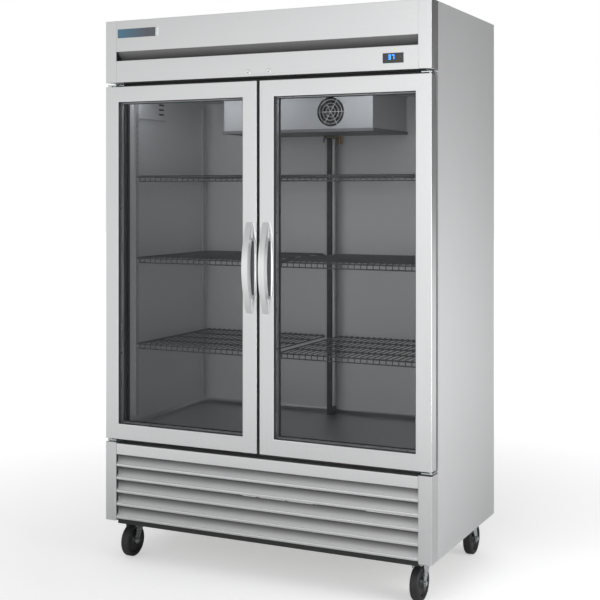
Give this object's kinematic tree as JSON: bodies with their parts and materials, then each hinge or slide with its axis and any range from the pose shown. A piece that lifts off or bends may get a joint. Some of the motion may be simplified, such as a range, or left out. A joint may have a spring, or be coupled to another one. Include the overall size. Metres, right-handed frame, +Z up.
{
  "type": "reach-in refrigerator",
  "caption": "Upright stainless reach-in refrigerator on casters, with glass swing doors, wire shelves and a bottom-mounted refrigeration unit behind a louvred grille.",
  "frame": {"origin": "on the floor, under the middle of the whole machine's box", "axes": "+Z up, the doors face -Y, +X to the right as seen from the front"},
  "size_m": [1.375, 0.804, 2.147],
  "materials": {
    "stainless": "brushed stainless steel",
    "side_sheet": "satin sheet steel",
    "liner_sheet": "clear-coated aluminium sheet",
    "foam": "rigid polyurethane foam",
    "black_plastic": "black moulded plastic",
    "grey_plastic": "dark grey moulded plastic",
    "dark_sheet": "shaded grey sheet steel",
    "plate_blue": "glossy dark blue",
    "display_black": "glossy black",
    "chrome": "polished plating",
    "zinc": "bright zinc plating",
    "black_paint": "black powder coat",
    "shelf_coat": "dark grey plastic coating on wire",
    "standard": "grey shelf standards and clips",
    "lens": "white diffuser",
    "coil": "aluminium fins",
    "copper": "copper tube",
    "glass": "clear low-emissivity glass",
    "gasket": "black magnetic gasket",
    "handle": "satin silver casting",
    "tyre": "black tyre on a black hub"
  },
  "bodies": {
    "cabinet": {"side_panels": "side_sheet", "top_panel": "side_sheet", "back_panel": "side_sheet", "insulation": "foam", "inner_liner": "liner_sheet", "cabinet_floor": "stainless", "breaker_frame": "black_plastic", "centre_mullion": "black_plastic", "header_upper": "stainless", "header_channel": "dark_sheet", "header_lower": "stainless", "corner_trims": "stainless", "name_plate": "plate_blue", "display_module": "display_black", "lock_housings": "chrome", "grille_panel": "stainless", "base_frame": "black_paint", "shelf_pilasters": "standard", "shelf_clips": "standard", "shelves_left": "shelf_coat", "shelves_right": "shelf_coat", "light_fixtures": "lens", "evaporator_coil": "coil", "evaporator_housing": "liner_sheet", "evaporator_fan_motors": "dark_sheet", "condensate_drain": "grey_plastic", "compressor": "black_paint", "condenser_coil": "coil", "condenser_shroud": "black_paint", "refrigerant_tubes": "copper", "rear_cover": "side_sheet", "cord_gland": "black_plastic", "hinge_brackets": "zinc", "caster_plates": "zinc"},
    "door_left": {"door_frame_left": "stainless", "door_border_left": "grey_plastic", "door_glass_left": "glass", "door_gasket_left": "gasket", "door_handle_left": "handle"},
    "lock_left": {"lock_plug_left": "chrome"},
    "door_right": {"door_frame_right": "stainless", "door_border_right": "grey_plastic", "door_glass_right": "glass", "door_gasket_right": "gasket", "door_handle_right": "handle"},
    "lock_right": {"lock_plug_right": "chrome"},
    "light_rocker": {"light_switch": "black_plastic"},
    "evaporator_fan_left": {"evaporator_fan_left": "black_plastic"},
    "evaporator_fan_right": {"evaporator_fan_right": "black_plastic"},
    "condenser_fan": {"condenser_fan": "black_plastic"},
    "swivel_front_left": {"caster_fork_front_left": "zinc"},
    "wheel_front_left": {"caster_wheel_front_left": "tyre"},
    "swivel_front_right": {"caster_fork_front_right": "zinc"},
    "wheel_front_right": {"caster_wheel_front_right": "tyre"},
    "swivel_rear_left": {"caster_fork_rear_left": "zinc"},
    "wheel_rear_left": {"caster_wheel_rear_left": "tyre"},
    "swivel_rear_right": {"caster_fork_rear_right": "zinc"},
    "wheel_rear_right": {"caster_wheel_rear_right": "tyre"},
    "brake_left": {"caster_brake_left": "zinc"},
    "brake_right": {"caster_brake_right": "zinc"}
  },
  "joints": [
    {"name": "door_left_hinge", "type": "hinge", "parent": "cabinet", "child": "door_left", "pos_m": [-0.6745, -0.335, 1.1835], "axis": [0, 0, -1], "range_deg": [0, 120], "stiffness_Nm_per_rad": 2, "springref_deg": -34.38},
    {"name": "door_right_hinge", "type": "hinge", "parent": "cabinet", "child": "door_right", "pos_m": [0.6745, -0.335, 1.1835], "axis": [0, 0, 1], "range_deg": [0, 120], "stiffness_Nm_per_rad": 2, "springref_deg": -34.38},
    {"name": "lock_left_turn", "type": "hinge", "parent": "cabinet", "child": "lock_left", "pos_m": [-0.044, -0.347, 1.918], "axis": [0, -1, 0], "range_deg": [0, 90]},
    {"name": "lock_right_turn", "type": "hinge", "parent": "cabinet", "child": "lock_right", "pos_m": [0.044, -0.347, 1.918], "axis": [0, 1, 0], "range_deg": [0, 90]},
    {"name": "light_rocker_tilt", "type": "hinge", "parent": "cabinet", "child": "light_rocker", "pos_m": [0.132, -0.334, 1.907], "axis": [0, 1, 0], "range_deg": [-6, 6]},
    {"name": "evaporator_fan_left_spin", "type": "hinge", "parent": "cabinet", "child": "evaporator_fan_left", "pos_m": [-0.15, -0.004, 1.783], "axis": [0, 1, 0], "continuous": true},
    {"name": "evaporator_fan_right_spin", "type": "hinge", "parent": "cabinet", "child": "evaporator_fan_right", "pos_m": [0.15, -0.004, 1.783], "axis": [0, 1, 0], "continuous": true},
    {"name": "condenser_fan_spin", "type": "hinge", "parent": "cabinet", "child": "condenser_fan", "pos_m": [-0.36, -0.164, 0.316], "axis": [0, 1, 0], "continuous": true},
    {"name": "swivel_front_left", "type": "hinge", "parent": "cabinet", "child": "swivel_front_left", "pos_m": [-0.6125, -0.247, 0.14], "axis": [0, 0, 1], "continuous": true},
    {"name": "wheel_front_left", "type": "hinge", "parent": "swivel_front_left", "child": "wheel_front_left", "pos_m": [-0.6125, -0.277, 0.0635], "axis": [1, 0, 0], "continuous": true},
    {"name": "swivel_front_right", "type": "hinge", "parent": "cabinet", "child": "swivel_front_right", "pos_m": [0.6125, -0.247, 0.14], "axis": [0, 0, 1], "continuous": true},
    {"name": "wheel_front_right", "type": "hinge", "parent": "swivel_front_right", "child": "wheel_front_right", "pos_m": [0.6125, -0.277, 0.0635], "axis": [1, 0, 0], "continuous": true},
    {"name": "swivel_rear_left", "type": "hinge", "parent": "cabinet", "child": "swivel_rear_left", "pos_m": [-0.6125, 0.307, 0.14], "axis": [0, 0, 1], "continuous": true},
    {"name": "wheel_rear_left", "type": "hinge", "parent": "swivel_rear_left", "child": "wheel_rear_left", "pos_m": [-0.6125, 0.337, 0.0635], "axis": [1, 0, 0], "continuous": true},
    {"name": "swivel_rear_right", "type": "hinge", "parent": "cabinet", "child": "swivel_rear_right", "pos_m": [0.6125, 0.307, 0.14], "axis": [0, 0, 1], "continuous": true},
    {"name": "wheel_rear_right", "type": "hinge", "parent": "swivel_rear_right", "child": "wheel_rear_right", "pos_m": [0.6125, 0.337, 0.0635], "axis": [1, 0, 0], "continuous": true},
    {"name": "brake_left_press", "type": "hinge", "parent": "swivel_front_left", "child": "brake_left", "pos_m": [-0.6125, -0.235, 0.122], "axis": [1, 0, 0], "range_deg": [0, 10]},
    {"name": "brake_right_press", "type": "hinge", "parent": "swivel_front_right", "child": "brake_right", "pos_m": [0.6125, -0.235, 0.122], "axis": [1, 0, 0], "range_deg": [0, 10]}
  ]
}
